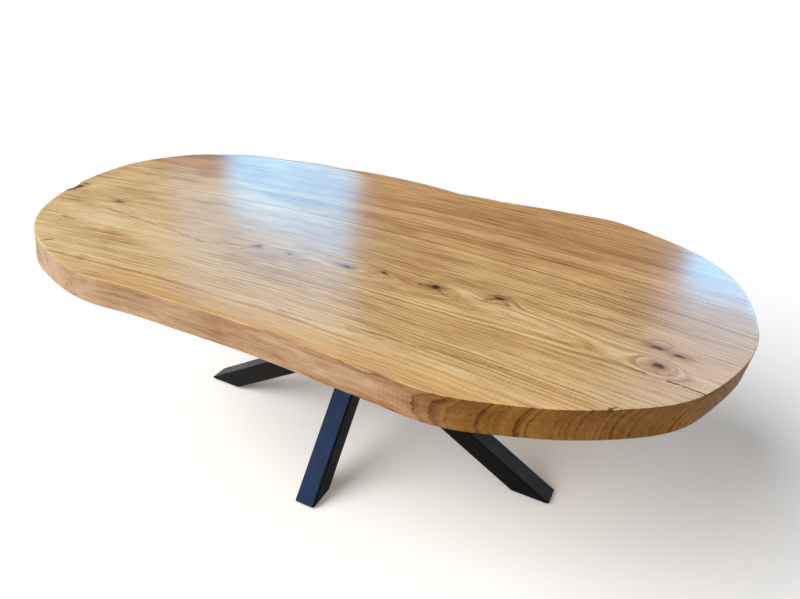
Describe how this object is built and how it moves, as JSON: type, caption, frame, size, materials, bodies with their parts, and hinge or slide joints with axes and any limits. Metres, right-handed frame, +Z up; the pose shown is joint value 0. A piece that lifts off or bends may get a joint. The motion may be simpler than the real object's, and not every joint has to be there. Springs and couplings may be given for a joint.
{
  "type": "coffee table",
  "caption": "Coffee table with a thick natural-edge wooden slab on a black base of square steel tubes that cross below it, standing on levelling glides.",
  "frame": {"origin": "on the floor, below the middle of the overall box", "axes": "+X along the slab to the right, +Y from the front long edge to the rear one, +Z up"},
  "size_m": [1.2505, 0.6155, 0.435],
  "materials": {
    "varnished_wood": "satin varnish",
    "black_coat": "satin black powder coat",
    "zinc_steel": "zinc plated",
    "insert_brass": "plain turned",
    "glide_nylon": "matt moulded"
  },
  "bodies": {
    "table": {"front_arm": "black_coat", "front_foot_plate": "black_coat", "front_leg": "black_coat", "front_mount_plate": "black_coat", "left_arm": "black_coat", "left_foot_plate": "black_coat", "left_mount_plate": "black_coat", "mount_bolts": "zinc_steel", "mount_washers": "zinc_steel", "rear_arm": "black_coat", "rear_foot_plate": "black_coat", "rear_leg": "black_coat", "rear_mount_plate": "black_coat", "right_foot_plate": "black_coat", "right_leg": "black_coat", "right_mount_plate": "black_coat", "slab_top": "varnished_wood", "threaded_inserts": "insert_brass", "through_bar": "black_coat", "weld_nuts": "zinc_steel"},
    "left_glide": {"left_glide_pad": "glide_nylon", "left_glide_stud": "zinc_steel"},
    "right_glide": {"right_glide_pad": "glide_nylon", "right_glide_stud": "zinc_steel"},
    "front_glide": {"front_glide_pad": "glide_nylon", "front_glide_stud": "zinc_steel"},
    "rear_glide": {"rear_glide_pad": "glide_nylon", "rear_glide_stud": "zinc_steel"}
  },
  "joints": [
    {"name": "left_glide_slide", "type": "slide", "parent": "table", "child": "left_glide", "axis": [0, 0, 1], "range_m": [-0.01, 0]},
    {"name": "right_glide_slide", "type": "slide", "parent": "table", "child": "right_glide", "axis": [0, 0, 1], "range_m": [-0.01, 0]},
    {"name": "front_glide_slide", "type": "slide", "parent": "table", "child": "front_glide", "axis": [0, 0, 1], "range_m": [-0.01, 0]},
    {"name": "rear_glide_slide", "type": "slide", "parent": "table", "child": "rear_glide", "axis": [0, 0, 1], "range_m": [-0.01, 0]}
  ]
}
